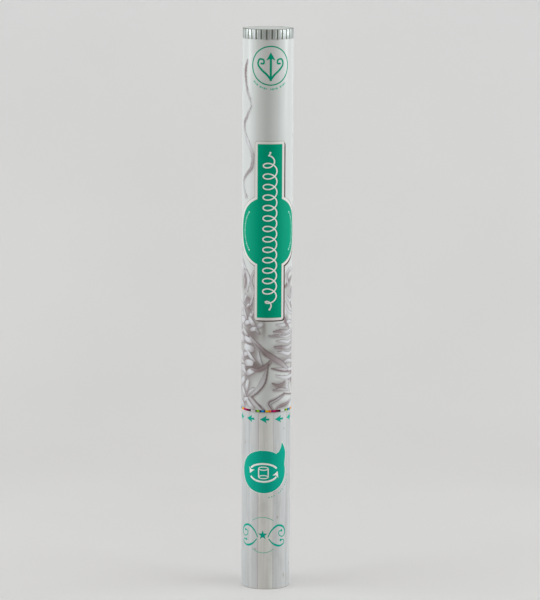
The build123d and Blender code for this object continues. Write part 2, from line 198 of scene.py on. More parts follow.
def grip_print():
    """Satin printed paper: whitewashed boards, whose grain is left out where solid ink covers it."""
    t = Tree("grip_print")
    ink = t.node("Attribute", attribute_name="Ink")
    fine = t.ramp(t.noise(420, 5, 0.65, (1, 1, 0.045)), [(0.25, 0.84), (0.5, 0.98), (0.75, 1.04)])
    broad = t.ramp(t.noise(95, 4, 0.6, (1, 1, 0.12)),
                   [(0.25, (0.86, 0.85, 0.84)), (0.7, (1.03, 1.03, 1.04))])
    blotch = t.ramp(t.noise(46, 4, 0.7, (1, 1, 0.5)), [(0.55, 1.0), (0.72, 0.9)])
    grain = t.times(t.times(fine, broad), blotch)
    grain = t.mix(ink.outputs["Alpha"], (1, 1, 1), grain)
    colour = t.times(ink.outputs["Color"], grain)
    rough = t.mottle(0.46, 0.58, 80, 3, 0.6)
    t.set(Base_Color=colour, Roughness=rough, Specular_IOR_Level=0.06, Coat_Weight=0.03, Coat_Roughness=0.3)
    t.bump(t.noise(420, 3, 0.6), 0.04, 0.0005)
    return t.material


def silver_plastic():
    """Bright moulded ribs, with painted shade darkening their grooves, read from a colour attribute of the
    mesh.
    """
    t = Tree("silver_plastic")
    worn = t.mottle(srgb(186, 191, 190), srgb(199, 203, 203), 180, 3, 0.6)
    painted_groove_shade = t.node("Attribute", attribute_name="PaintedGrooveShade").outputs["Fac"]
    # Painted shade: down in the grooves the colour is mixed towards a dark olive grey.
    tone = t.mix(painted_groove_shade, worn, srgb(78, 84, 62))
    rough = t.mottle(0.3, 0.38, 260, 3, 0.6)
    t.set(Base_Color=tone, Metallic=0.3, Roughness=rough)
    t.bump(t.noise(300, 2, 0.5), 0.01, 0.0001)
    return t.material


PLY = 0.00037  # the thickness of one ply of the wound card
WIND = 0.085  # how far its spiral seam climbs in a turn


def card():
    """Grey-brown wound card, its plies showing as rings on the cut ends."""
    t = Tree("card")
    fibre = t.ramp(t.noise(520, 5, 0.7), [(0.25, srgb(150, 136, 114)), (0.75, srgb(196, 184, 162))])
    apart = t.node("SeparateXYZ")
    t.link(t.position(), apart.inputs[0])
    x, y, z = apart.outputs
    radius = t.math("SQRT", t.math("ADD", t.math("MULTIPLY", x, x), t.math("MULTIPLY", y, y)))
    ply = t.math("SINE", t.math("MULTIPLY", radius, 2 * pi / PLY))
    turn = t.math("DIVIDE", t.math("ARCTAN2", y, x), 2 * pi)
    wind = t.math("FRACT", t.math("ADD", turn, t.math("DIVIDE", z, WIND)))
    seam = t.ramp(wind, [(0.0, 0.72), (0.012, 0.93), (0.03, 1.0)])
    rings = t.ramp(t.math("ADD", t.math("MULTIPLY", ply, 0.5), 0.5), [(0.2, 0.86), (0.8, 1.0)])
    colour = t.times(t.times(fibre, seam), rings)
    t.set(Base_Color=colour, Roughness=0.9, Specular_IOR_Level=0.25)
    t.bump(t.noise(900, 4, 0.7), 0.25, 0.0004)
    return t.material


def moulded(name, colour, roughness=0.45):
    """Moulded plastic or rubber with a fine satin texture."""
    t = Tree(name)
    low = tuple(c * 0.93 for c in colour)
    t.set(Base_Color=t.mottle(low, colour, 120, 4, 0.6),
          Roughness=t.mottle(roughness * 0.85, roughness * 1.15, 300, 3, 0.6))
    t.bump(t.noise(1400, 2, 0.5), 0.08, 0.0003)
    return t.material


def metal(name, colour, roughness, stretch=(1, 1, 1)):
    """Metal whose tool marks run along the axis that stretch makes small."""
    t = Tree(name)
    low = tuple(c * 0.85 for c in colour)
    brushed = t.noise(700, 4, 0.6, stretch)
    t.set(Base_Color=t.ramp(brushed, [(0.3, low), (0.7, colour)]), Metallic=1.0,
          Roughness=t.ramp(brushed, [(0.3, roughness * 0.8), (0.7, roughness * 1.3)]))
    t.bump(brushed, 0.06, 0.0002)
    return t.material


def foil():
    """Metallised film: mirror-bright, a little crinkled."""
    t = Tree("silver_foil")
    crease = t.noise(210, 3, 0.55)
    shine = t.ramp(crease, [(0.3, srgb(196, 198, 202)), (0.7, srgb(236, 237, 240))])
    t.set(Base_Color=shine, Metallic=1.0, Roughness=t.mottle(0.16, 0.3, 90, 3, 0.5))
    t.bump(crease, 0.25, 0.0006)
    return t.material


def pulp(name, light, dark, scale=600):
    """Matt, fibrous board or felt."""
    t = Tree(name)
    t.set(Base_Color=t.mottle(dark, light, scale, 6, 0.75), Roughness=0.95, Specular_IOR_Level=0.2)
    t.bump(t.noise(scale * 1.5, 5, 0.75), 0.5, 0.0006)
    return t.material


MATERIALS = {
    "barrel_print": barrel_print(),
    "grip_print": grip_print(),
    "silver_plastic": silver_plastic(),
    "card": card(),
    "white_plastic": moulded("white_plastic", srgb(232, 232, 228)),
    "aluminium": metal("aluminium", srgb(214, 215, 217), 0.3, (1, 1, 0.04)),
    "brass": metal("brass", srgb(214, 176, 104), 0.28, (0.1, 0.1, 1)),
    "steel": metal("steel", srgb(190, 191, 194), 0.32),
    "rubber": moulded("rubber", srgb(34, 34, 35), 0.8),
    "wad_board": pulp("wad_board", srgb(222, 217, 205), srgb(186, 180, 166)),
    "felt": pulp("felt", srgb(232, 229, 220), srgb(200, 196, 184), 1100),
    "silver_foil": foil(),
}


# ---- Camera, lights and stage ----
CAMERA_AWAY = 3.2253
CAMERA_UP = 0.8226
CAMERA_PITCH = radians(9.026)  # down
CAMERA_ROLL = radians(0.3238)
CAMERA_YAW = radians(0.0620)
PIXEL_FOCAL = 3064.6 / 600  # focal length over the frame's long side
SENSOR = 36.0


def make_camera():
    data = bpy.data.cameras.new("camera")
    data.sensor_width = SENSOR
    data.lens = PIXEL_FOCAL * SENSOR
    data.clip_start, data.clip_end = 0.1, 50
    camera = bpy.data.objects.new("camera", data)
    bpy.context.scene.collection.objects.link(camera)
    camera.location = (0, -CAMERA_AWAY, CAMERA_UP)
    forward = Vector((sin(CAMERA_YAW) * cos(CAMERA_PITCH),
                      cos(CAMERA_YAW) * cos(CAMERA_PITCH), -sin(CAMERA_PITCH)))
    level = forward.to_track_quat("-Z", "Y").to_matrix()
    aim = level.to_quaternion()
    aim.rotate(Quaternion(level @ Vector((0, 0, 1)), CAMERA_ROLL))
    camera.rotation_mode = "QUATERNION"
    camera.rotation_quaternion = aim
    bpy.context.scene.camera = camera


def area_light(name, place, target, size, watts, colour=(1, 1, 1)):
    data = bpy.data.lights.new(name, "AREA")
    data.shape = "RECTANGLE"
    data.size, data.size_y = size
    data.energy = watts
    data.color = colour
    lamp = bpy.data.objects.new(name, data)
    bpy.context.scene.collection.objects.link(lamp)
    lamp.location = place
    lamp.rotation_mode = "QUATERNION"
    lamp.rotation_quaternion = (Vector(target) - Vector(place)).to_track_quat("-Z", "Y")
    return lamp


def make_lights(sweep):
    """Cool boxes at the sides and a warm one overhead, as soft studio light."""
    # The strips light the object alone, so they throw no hard shadow on the floor.
    lit_by_strips = bpy.data.collections.new("lit_by_strips")
    lit_by_strips.objects.link(sweep)
    lit_by_strips.collection_objects[0].light_linking.link_state = "EXCLUDE"
    cool = (0.915, 0.972, 1.0)
    for side, watts in ((-1, 1.0), (1, 1.05)):
        # A broad box in front of each side, and a bright narrow one square on to it, high up.
        area_light("broad_box", (side * 1.9, -0.38, 0.8), (0, 0, 0.35), (1.9, 2.2), 24 * watts, cool)
        strip = area_light("strip_box", (side * 1.5, 0, 1), (0, 0, 0.6), (0.42, 1.2), 12.5 * watts, cool)
        strip.light_linking.receiver_collection = lit_by_strips
    area_light("top_box", (0, -0.5, 2.6), (0, 0, 0), (2.6, 2.4), 25.5, (1.0, 0.95, 0.86))
    world = bpy.data.worlds.new("studio")
    world.use_nodes = True
    tree = world.node_tree
    path, blend = tree.nodes.new("ShaderNodeLightPath"), tree.nodes.new("ShaderNodeMix")
    # A dim warm fill; past the floor's edge the studio itself looks pale.
    blend.data_type = "RGBA"
    blend.inputs[6].default_value = (0.13, 0.121, 0.107, 1)
    blend.inputs[7].default_value = (0.63, 0.63, 0.61, 1)
    tree.links.new(path.outputs["Is Camera Ray"], blend.inputs[0])
    tree.links.new(blend.outputs[2], tree.nodes["Background"].inputs["Color"])
    bpy.context.scene.world = world
    bpy.context.scene.view_settings.view_transform = "Standard"


def make_stage():
    """A pale seamless sweep: floor, curve and wall."""
    t = Tree("sweep")
    tone = t.mottle(srgb(237, 237, 239), srgb(241, 241, 243), 2.5, 2, 0.5)
    t.set(Base_Color=tone, Roughness=0.85, Specular_IOR_Level=0.2)
    # Seen from behind, the wall lets the view through.
    shown = t.math("SUBTRACT", 1.0, t.node("NewGeometry").outputs["Backfacing"])
    t.set(Alpha=shown)
    half, front, back, radius, tall, steps = 3.0, -1.6, 1.5, 0.9, 3.5, 16
    outline = [(front, 0.0), (back - radius, 0.0)]
    for i in range(1, steps + 1):
        a = radians(90 * i / steps)
        outline.append((back - radius + radius * sin(a), radius - radius * cos(a)))
    outline.append((back, tall))
    verts = [(x, y, z) for y, z in outline for x in (-half, half)]
    faces = [(2 * i, 2 * i + 1, 2 * i + 3, 2 * i + 2) for i in range(len(outline) - 1)]
    mesh = bpy.data.meshes.new("sweep")
    mesh.from_pydata(verts, [], faces)
    mesh.shade_smooth()
    mesh.materials.append(t.material)
    sweep = bpy.data.objects.new("sweep", mesh)
    bpy.context.scene.collection.objects.link(sweep)
    return sweep


make_camera()
make_lights(make_stage())


# ---- The picture on the barrel, painted on the unrolled wrap ----
class Canvas:
    """A picture on the unrolled wrap: round is its width and tall its height, in millimetres."""

    PITCH = 0.4

    def __init__(self, round_mm, low, high, ground):
        self.round, self.low = round_mm, low
        self.nx = int(round(round_mm / self.PITCH))
        self.nz = int(ceil((high - low) / self.PITCH)) + 1
        self.pixels = np.empty((self.nz, self.nx, 3))
        self.pixels[:] = ground

    def cells(self, points):
        ix = np.floor((points[..., 0] / self.round + 0.5) * self.nx).astype(int) % self.nx
        iz = np.round((points[..., 1] - self.low) / self.PITCH).astype(int)
        inside = (iz >= 0) & (iz < self.nz)
        return ix, iz, inside

    def shade(self, mask, reach, offset, strength, colour):
        """Darkens the picture under mask, blurred over reach and moved by offset, in millimetres."""
        soft = mask.astype(float)
        width = max(1, int(reach / self.PITCH))
        for axis in (0, 1):
            for _ in range(2):
                total = sum(np.roll(soft, k, axis) for k in range(-width, width + 1))
                soft = total / (2 * width + 1)
        soft = np.roll(soft, (int(offset[1] / self.PITCH), int(offset[0] / self.PITCH)), (0, 1))
        amount = (soft * strength)[..., None]
        self.pixels = self.pixels * (1 - amount) + np.array(colour) * amount

    def tint(self, u, z, ru, rz, strength):
        """A soft mauve hollow centred on (u, z)."""
        us = (np.arange(self.nx) + 0.5) / self.nx * self.round - self.round / 2
        zs = self.low + np.arange(self.nz) * self.PITCH
        du = (us - u + self.round / 2) % self.round - self.round / 2
        away = (du[None, :] / ru) ** 2 + ((zs[:, None] - z) / rz) ** 2
        amount = (strength * np.exp(-away ** 1.4))[..., None]
        self.pixels = self.pixels * (1 - amount) + np.array(SHADE) * amount

    def ribbon(self, path, half, light, shadow, rim=0.55, shine=None):
        """A ribbon along path (n, 2), of half-width half (n), whose light (n) is 1 where it shines
        and 0 in its folds. It throws a soft shadow on what is already painted, and its edge is a
        dark line as wide as rim, stronger on one side."""
        path, half, light = np.asarray(path), np.asarray(half), np.asarray(light)
        along = np.gradient(path, axis=0)
        along /= np.maximum(np.linalg.norm(along, axis=1, keepdims=True), 1e-9)
        across = np.stack([-along[:, 1], along[:, 0]], 1)
        steps = max(5, int(2 * half.max() / (self.PITCH * 0.45)))
        v = np.linspace(-1, 1, steps)
        points = path[:, None, :] + across[:, None, :] * (half[:, None] * v)[..., None]
        ix, iz, inside = self.cells(points)
        mask = np.zeros((self.nz, self.nx), bool)
        mask[iz[inside], ix[inside]] = True
        self.shade(mask, 1.1, (0.8, -0.8), shadow, SHADE)
        edge = np.clip(1 - (1 - np.abs(v)) * half[:, None] / rim, 0, 1)
        tone = light[:, None] * (0.9 + 0.1 * v[None, :]) - 0.10 * v[None, :] ** 2
        tone = np.clip(tone, 0, 1)[..., None]
        colour = np.array(FOLD) * (1 - tone) + np.array(shine or SHINE) * tone
        dark = (edge * np.where(v > 0, 0.85, 0.3)[None, :])[..., None]
        colour = colour * (1 - dark) + np.array(LINE) * dark
        self.pixels[iz[inside], ix[inside]] = colour[inside]

    def sample(self, u, z):
        """The colours at (u, z), blended between cells."""
        x = (np.asarray(u) / self.round + 0.5) * self.nx - 0.5
        y = np.clip((np.asarray(z) - self.low) / self.PITCH, 0, self.nz - 1.001)
        x0, y0 = np.floor(x).astype(int), np.floor(y).astype(int)
        fx, fy = (x - x0)[:, None], (y - y0)[:, None]
        a, b = self.pixels[y0, x0 % self.nx], self.pixels[y0, (x0 + 1) % self.nx]
        c, d = self.pixels[y0 + 1, x0 % self.nx], self.pixels[y0 + 1, (x0 + 1) % self.nx]
        return (a * (1 - fx) + b * fx) * (1 - fy) + (c * (1 - fx) + d * fx) * fy


SHINE = srgb(212, 213, 216)
BRIGHT = srgb(238, 240, 242)
FOLD = srgb(144, 128, 129)
LINE = srgb(96, 80, 81)
SHADE = srgb(112, 94, 94)


def smooth_path(points, step=0.18):
    """A smooth curve through points, as many close ones, and how far along it each one is, from 0 to 1."""
    points = np.asarray(points, float)
    padded = np.vstack([2 * points[0] - points[1], points, 2 * points[-1] - points[-2]])
    out = []
    for i in range(len(points) - 1):
        p0, p1, p2, p3 = padded[i:i + 4]
        count = max(2, int(np.linalg.norm(p2 - p1) / step))
        t = np.linspace(0, 1, count, endpoint=False)[:, None]
        out.append(0.5 * (2 * p1 + (p2 - p0) * t + (2 * p0 - 5 * p1 + 4 * p2 - p3) * t ** 2
                          + (3 * p1 - p0 - 3 * p2 + p3) * t ** 3))
    out = np.vstack(out + [points[-1:]])
    return out, np.linspace(0, 1, len(out))


def bow(canvas, points, half, tones, shadow=0.5):
    """A ribbon through points, with a half-width and a tone at each."""
    path, t = smooth_path(points)
    places = np.linspace(0, 1, len(points))
    canvas.ribbon(path, np.interp(t, places, half), np.interp(t, places, tones), shadow)


def facet(canvas, u, z, lean, length, half, tone):
    """A stretch of ribbon between two folds: square-ended, darkening towards the folds."""
    d = np.array([cos(radians(lean)), sin(radians(lean))])
    t = np.linspace(-1, 1, int(length / 0.16))
    side = 1 if lean > 0 else -1
    bulge = np.array([-d[1], d[0]]) * side * (1 - t * t)[:, None]
    path = np.array([u, z]) + d * (t * length / 2)[:, None] + bulge
    light = tone * (1.03 - 0.75 * np.clip((np.abs(t - 0.3 * side) - 0.35) / 0.95, 0, 1))
    canvas.ribbon(path, half * (1 - 0.3 * np.abs(t) ** 2.5), light, 0.5, 0.45)


def waves(canvas, rng, u, top, bottom):
    """A single white ribbon with a grey edge, hanging in slow waves."""
    z, side, points = top, 1, []
    while z > bottom:
        points.append((u + side * rng.uniform(5, 9), z))
        z -= rng.uniform(24, 34)
        side = -side
    path, t = smooth_path(points)
    width = rng.uniform(1.5, 2.1) * (0.7 + 0.3 * np.sin(t * len(points) * 1.7))
    canvas.ribbon(path, width, np.full(len(t), 1.0), 0.6, 1.5, BRIGHT)


def tangle(canvas, rng, u0, u1):
    """Crossing ribbons that hide the paper near the joint, between two places round the barrel."""
    span = u1 - u0
    columns = int(span / 7)

    def spread(k):
        """A place in the k-th column; the columns come round again and again."""
        return u0 + span * (k % columns + rng.random()) / columns

    for k in range(2 * columns):
        u = spread(k)
        canvas.tint(u, rng.uniform(205, 300), rng.uniform(8, 13), rng.uniform(8, 16), 0.6)
    for k in range(columns):
        u, z = spread(k), rng.uniform(296, 345)
        r = rng.uniform(4, 8)
        a = np.linspace(0, rng.uniform(3.0, 5.5), 7) + rng.uniform(0, 6)
        ring = [(u + r * cos(t), z + 1.5 * r * sin(t)) for t in a]
        bow(canvas, ring, rng.uniform(0.6, 1.8, 7), rng.uniform(0.55, 1.0, 7), 0.35)
    for k in range(5 * columns):
        u, z = spread(k), rng.uniform(198, 306)
        lean = rng.choice([-48, 42, 66, -12]) + rng.uniform(-12, 12)
        facet(canvas, u, z, lean, rng.uniform(12, 24), rng.uniform(1.0, 2.6), rng.choice([0.3, 0.9, 1.0]))
    for k in range(2 * columns):
        u, z = spread(k), rng.uniform(203, 292)
        lean = radians(rng.uniform(-80, 80))
        d = np.array([cos(lean), sin(lean)]) * rng.uniform(10, 20)
        bend = rng.uniform(-7, 7, 2)
        bow(canvas, [(u - d[0], z - d[1]), (u - d[0] / 3, z - d[1] / 3 + bend[0]),
                     (u + d[0] / 3, z + d[1] / 3 + bend[1]), (u + d[0], z + d[1])],
            [0.6, rng.uniform(1.2, 3.6), rng.uniform(1.2, 3.6), 0.6], rng.choice([0.05, 0.5, 0.9, 1.0], 4))


# Dark hollows between the ribbons at the front, as (u, z, half-width, half-height, strength).
HOLLOWS = (
    (-22, 310, 10, 12, 0.6), (-20, 292, 11, 12, 0.75), (-18, 276, 11, 10, 0.8), (-20, 258, 12, 14, 0.8),
    (-20, 240, 11, 12, 0.8), (-24, 222, 8, 12, 0.65), (-24, 205, 10, 8, 0.6), (-3, 284, 2.6, 11, 0.5),
    (-11, 243, 9, 6, 0.75), (3, 257, 9, 4, 0.5), (18, 248, 13, 7, 0.65), (17, 263, 10, 5, 0.6),
    (18, 281, 9, 4, 0.55), (13, 275, 10, 2.6, 0.5), (16, 221, 10, 6, 0.7), (21, 200, 9, 4, 0.55),
    (32, 256, 8, 12, 0.35), (-31, 330, 6, 12, 0.45), (28, 322, 8, 14, 0.35), (24, 291, 4, 8, 0.6),
)
# Turns of ribbon that catch the light at the front left, as (u, z, lean, length, half-width, tone).
FACETS = (
    (-34, 306, -20, 16, 3.6, 0.9), (-34, 290, 5, 14, 4.0, 0.95), (-35, 272, -8, 14, 4.5, 0.95),
    (-34, 254, -30, 14, 3.8, 0.9), (-33, 238, 12, 13, 3.8, 0.9), (-33, 224, 40, 14, 3.4, 0.9),
    (-27, 314, 70, 10, 2.0, 0.8), (-21, 306, 12, 8, 2.6, 0.95), (-27, 298, -60, 12, 2.2, 0.85),
    (-17, 298, 62, 9, 2.0, 0.9), (-24, 288, 20, 10, 2.4, 0.9), (-16.5, 291, -48, 11, 2.4, 1.0),
    (-14.5, 282, 14, 9, 2.3, 1.0), (-9, 281, -50, 7, 1.2, 0.6), (-7, 286.5, 30, 7, 2.4, 1.0),
    (-27, 279, -35, 11, 2.2, 0.85), (-21, 271.5, -10, 14, 2.8, 1.0), (-26, 254, 24, 10, 2.4, 0.85),
    (-21.5, 262.5, -6, 15, 4.0, 1.0), (-17.5, 253.5, -46, 15, 1.9, 1.0), (-27.5, 237, -50, 10, 2.2, 0.9),
    (-21.5, 245, 6, 13, 3.6, 0.95), (-19, 235.5, 28, 12, 3.0, 1.0), (-29, 214, -52, 13, 2.3, 0.9),
    (-23, 221, 78, 13, 2.5, 0.95), (-17.5, 215, 40, 13, 1.6, 0.85), (-26, 205, 20, 10, 2.2, 0.9),
    (-32, 201, -30, 12, 2.6, 0.85), (-18, 201, -42, 14, 2.2, 0.95),
)
# Ribbons at the front, from the back of the pile to its front: points, half-widths, tones.
BOWS = (
    (((-36, 355), (-27, 346), (-19, 334), (-15, 322)), (0.8, 1.7, 1.6, 0.8), (0.95, 1.0, 0.9, 0.7)),
    (((-29, 341), (-26, 333), (-29, 325)), (0.8, 1.9, 0.8), (0.3, 0.0, 0.3)),
    (((-27, 312), (-22, 315), (-18, 309), (-22, 304), (-17, 300)),
     (0.7, 1.2, 1.0, 1.2, 0.7), (0.3, 0.0, 0.1, 0.0, 0.3)),
    (((21, 327), (27, 332), (33, 336), (40, 339)), (0.9, 1.7, 1.6, 1.0), (0.1, 0.0, 0.25, 0.6)),
    (((40, 326), (33, 323), (30, 315), (34, 306), (41, 303)),
     (0.7, 1.4, 1.2, 1.5, 1.0), (0.8, 0.3, 0.9, 0.2, 0.7)),
    (((-34, 334), (-28, 344), (-22, 336), (-24, 322)), (0.8, 2.2, 2.4, 1.0), (0.9, 0.55, 1.0, 0.6)),
    (((-14, 346), (-18, 334), (-15, 322), (-19, 308)), (0.8, 1.8, 1.3, 1.4), (0.9, 0.5, 0.9, 0.6)),
    (((40, 338), (32, 346), (24, 340), (28, 328)), (0.8, 1.6, 1.9, 0.8), (1.0, 0.9, 0.55, 0.9)),
    (((24, 318), (31, 312), (38, 318), (33, 327)), (0.8, 1.6, 1.5, 0.8), (0.9, 1.0, 0.6, 0.9)),
    (((21, 312), (27, 302), (36, 298), (42, 300)), (0.9, 1.8, 1.5, 0.8), (0.95, 0.75, 1.0, 0.9)),
    (((10, 288), (20, 287), (29, 290), (37, 288)), (0.8, 1.9, 2.0, 1.0), (0.7, 0.95, 1.0, 0.9)),
    (((7, 280), (15, 281), (24, 279), (33, 281)), (0.7, 1.5, 2.0, 1.2), (0.2, 0.1, 0.8, 1.0)),
    (((2, 276), (12, 276), (24, 274), (36, 276)), (0.5, 1.0, 1.6, 1.0), (0.5, 0.3, 0.95, 1.0)),
    (((10, 270), (18, 270), (27, 268), (36, 270)), (0.7, 1.3, 1.9, 1.2), (0.6, 0.9, 1.0, 0.9)),
    (((8, 264), (17, 263), (27, 262), (37, 264)), (0.9, 1.5, 1.9, 1.2), (0.2, 0.1, 0.85, 1.0)),
    (((12, 258), (20, 257), (29, 255), (37, 257)), (0.9, 1.7, 2.0, 1.3), (0.4, 0.9, 1.0, 0.9)),
    (((18, 246), (27, 248), (38, 246)), (1.0, 2.0, 1.4), (0.3, 0.85, 1.0)),
    (((6, 241), (16, 240), (26, 238), (40, 237)), (0.6, 1.6, 2.4, 1.8), (0.3, 0.6, 0.95, 1.0)),
    (((10, 233), (22, 230), (32, 230), (40, 231)), (0.8, 2.0, 2.2, 1.8), (0.9, 0.9, 0.97, 1.0)),
    (((-18, 240), (-9, 239), (-1, 243), (5, 249)), (1.0, 1.9, 2.4, 1.4), (0.3, 0.0, 0.1, 0.2)),
    (((-19, 274), (-9, 265), (0, 257), (9, 251), (17, 246), (27, 239)),
     (0.8, 2.2, 2.7, 2.9, 2.6, 1.0), (0.6, 0.35, 0.1, 0.2, 0.3, 0.7)),
    (((-15, 268), (-8, 261), (-1, 254)), (0.4, 0.8, 0.4), (0.6, 0.5, 0.3)),
    (((-9, 259), (-8, 251), (-5, 245)), (0.8, 2.2, 0.9), (0.9, 0.95, 0.8)),
    (((20, 296), (23, 289), (29, 283)), (0.9, 1.4, 0.7), (0.1, 0.0, 0.4)),
    (((6, 225), (14, 222), (23, 226)), (0.6, 1.4, 0.7), (0.1, 0.0, 0.2)),
    (((7, 217), (16, 218), (27, 216)), (0.6, 1.5, 0.9), (0.2, 0.5, 0.9)),
    (((30, 226), (26, 220), (32, 214)), (0.8, 1.8, 0.8), (0.9, 0.95, 0.8)),
    (((0, 239), (-3, 229), (-9, 218), (-19, 208)), (1.0, 2.6, 2.5, 1.0), (0.5, 0.8, 0.9, 0.7)),
    (((-20, 209), (-13, 203), (-4, 196), (0, 190)), (1.2, 2.4, 2.4, 2.0), (0.6, 0.85, 0.95, 0.95)),
    (((22, 213), (12, 208), (3, 203), (6, 196), (10, 192)),
     (0.8, 2.0, 2.2, 2.2, 1.6), (0.8, 0.95, 0.85, 0.95, 0.95)),
    (((36, 206), (26, 202), (14, 199), (9, 195)), (1.6, 1.3, 1.5, 0.8), (1.0, 0.2, 0.0, 0.4)),
)
# The single ribbon down the front left, which turns over above the label.
LAZY = (
    (((-24.8, 568), (-28.9, 556), (-26.5, 540), (-21.6, 528), (-19.5, 520)),
     (0.9, 2.2, 1.4, 1.3, 0.7), (0.3, 0.0, 0.25, 0.45, 0.95)),
    (((-19.0, 520), (-24.8, 509), (-30.3, 501), (-29.6, 491), (-22, 478.7), (-16.6, 467), (-18.1, 455),
      (-23.9, 448.5), (-31.3, 441), (-31.5, 432), (-25.6, 422)),
     (0.7, 1.4, 1.6, 1.7, 2.0, 2.0, 1.8, 1.5, 1.3, 1.3, 1.7),
     (0.95, 0.35, 0.2, 0.8, 1.0, 0.6, 0.3, 0.15, 0.4, 0.9, 0.6)),
    (((-33, 372), (-36, 360), (-30, 350), (-31, 338)), (1.0, 1.8, 1.6, 1.0), (0.6, 0.9, 0.6, 0.8)),
)
# The long lines that bound the broad light pieces.
EDGES = (
    ((2, 246), (1, 236), (-1, 226), (-7, 217), (-17, 209)),
    ((-17, 210), (-10, 203), (-1, 194)),
    ((5, 241), (18, 237), (38, 235)),
    ((21, 213), (11, 208), (3, 204), (5, 198), (10, 193)),
    ((20, 213), (30, 211), (38, 210)),
)


def barrel_picture():
    """Silver ribbons: one lazy wave above, thickening into a tangle near the joint."""
    girth = 2 * pi * BARREL_R
    canvas = Canvas(girth, BARREL_Z[0], BARREL_Z[1], PAPER)
    rng = np.random.default_rng(7)
    for points, half, tones in LAZY:
        bow(canvas, points, half, tones, 0.3)
    for u, top, bottom in ((-62, 588, 300), (-80, 560, 310), (64, 590, 300), (47, 470, 320)):
        waves(canvas, rng, u, top, bottom)
    tangle(canvas, rng, 36, girth - 36)
    for u, z, ru, rz, strength in HOLLOWS:
        canvas.tint(u, z, ru, rz, strength)
    for u, z, lean, length, half, tone in FACETS:
        facet(canvas, u, z, lean, length, half, tone)
    for points, half, tones in BOWS:
        bow(canvas, points, half, tones, 0.5)
    for points in EDGES:
        path, t = smooth_path(points)
        canvas.ribbon(path, np.full(len(t), 0.62), 0.12 * np.sin(t * 9), 0.3)
    return canvas


# ---- Printed shapes ----
def arc(cu, cz, r, start, end, count=None):
    """Points on a circle from one angle to another, in degrees, anticlockwise if end is the larger."""
    count = count or max(3, int(abs(end - start) * r / 22) + 2)
    angles = np.radians(np.linspace(start, end, count))
    return [(cu + r * cos(a), cz + r * sin(a)) for a in angles]


def oval(cu, cz, ru, rz, count):
    angles = np.linspace(0, 2 * pi, count)[:-1]
    return [(cu + ru * cos(a), cz + rz * sin(a)) for a in angles]


def rectangle(u0, u1, z0, z1):
    return [(u0, z0), (u1, z0), (u1, z1), (u0, z1)]


def dot(cu, cz, far, angle, r):
    """A small disc whose centre lies on a circle of radius far round (cu, cz)."""
    a = radians(angle)
    return disc(cu + far * cos(a), cz + far * sin(a), r)


def disc(cu, cz, r):
    return arc(cu, cz, r, 0, 360, max(12, int(r * 7)))[:-1]


def band(path, half):
    """The outline of a line of even or changing half-width along path."""
    path = np.asarray(path, float)
    half = np.broadcast_to(half, (len(path),))
    along = np.gradient(path, axis=0)
    along /= np.maximum(np.linalg.norm(along, axis=1, keepdims=True), 1e-9)
    side = np.stack([-along[:, 1], along[:, 0]], 1) * half[:, None]
    return [tuple(p) for p in np.vstack([path + side, (path - side)[::-1]])]


def pieces_of_band(path, half, most=8):
    """A long or self-crossing line as several overlapping bands, none of which crosses itself."""
    path = np.asarray(path, float)
    half = np.broadcast_to(half, (len(path),))
    starts = range(0, len(path) - 1, most)
    return [band(path[i:i + most + 1], half[i:i + most + 1]) for i in starts]


def anticlockwise(shape):
    area = sum(u0 * z1 - u1 * z0 for (u0, z0), (u1, z1) in zip(shape, shape[1:] + shape[:1]))
    return shape if area > 0 else shape[::-1]


def finely(shape, most=1.2):
    """The same outline with no step longer round the tube than most."""
    out = []
    for (u0, z0), (u1, z1) in zip(shape, shape[1:] + shape[:1]):
        count = max(1, ceil(abs(u1 - u0) / most))
        out += [(u0 + (u1 - u0) * i / count, z0 + (z1 - z0) * i / count) for i in range(count)]
    return out


def moved(shape, du, dz):
    return [(u + du, z + dz) for u, z in shape]


def turned(shape, angle, cu=0.0, cz=0.0):
    c, s = cos(radians(angle)), sin(radians(angle))
    return [(cu + (u - cu) * c - (z - cz) * s, cz + (u - cu) * s + (z - cz) * c) for u, z in shape]


def arrow_head(tip, heading, length, spread, notch):
    """A barbed arrow head whose point is at tip."""
    shape = [(0, 0), (-length, spread), (-length + notch, 0.0), (-length, -spread)]
    return moved(turned(shape, heading), *tip)


def label_outline(grow, centre, bar, circle, corner):
    """The tall label with a disc behind its middle, grown outwards by grow."""
    cu, cz = centre
    w, low, high = bar[0] / 2 + grow, bar[1] - grow, bar[2] + grow
    r = circle + grow
    k = degrees(asin(w / r))
    corner = corner + grow if grow > 0 else corner
    right = arc(cu, cz, r, -90 + k, 90 - k)
    left = arc(cu, cz, r, 90 + k, 270 - k)

    def turn(su, sz, start):
        """One corner, a quarter circle from the angle start; sharp if corner isn't above 0."""
        if corner <= 0:
            return [(cu + su * w, high if sz > 0 else low)]
        z = high - corner if sz > 0 else low + corner
        return arc(cu + su * w - su * corner, z, corner, start, start + 90, 7)

    return right + turn(1, 1, 0) + turn(-1, 1, 90) + left + turn(-1, -1, 180) + turn(1, -1, 270)


FRONT_U = 3.0  # the print is turned a little to the right of the tube's front
LABEL_WIDTH = 27.4
LABEL_LOW, LABEL_HIGH = 295.2, 479.8
DISC_Z, DISC_R = 387.0, 37.2
OUTLINE = 2.7
BADGE_Z, BADGE_R = 562.1, 20.9
BAR_Z = (0.15, 2.45)  # the colour bar, above the barrel's foot
BAR_START, BAR_PITCH = -25.4, 72  # in degrees round the barrel


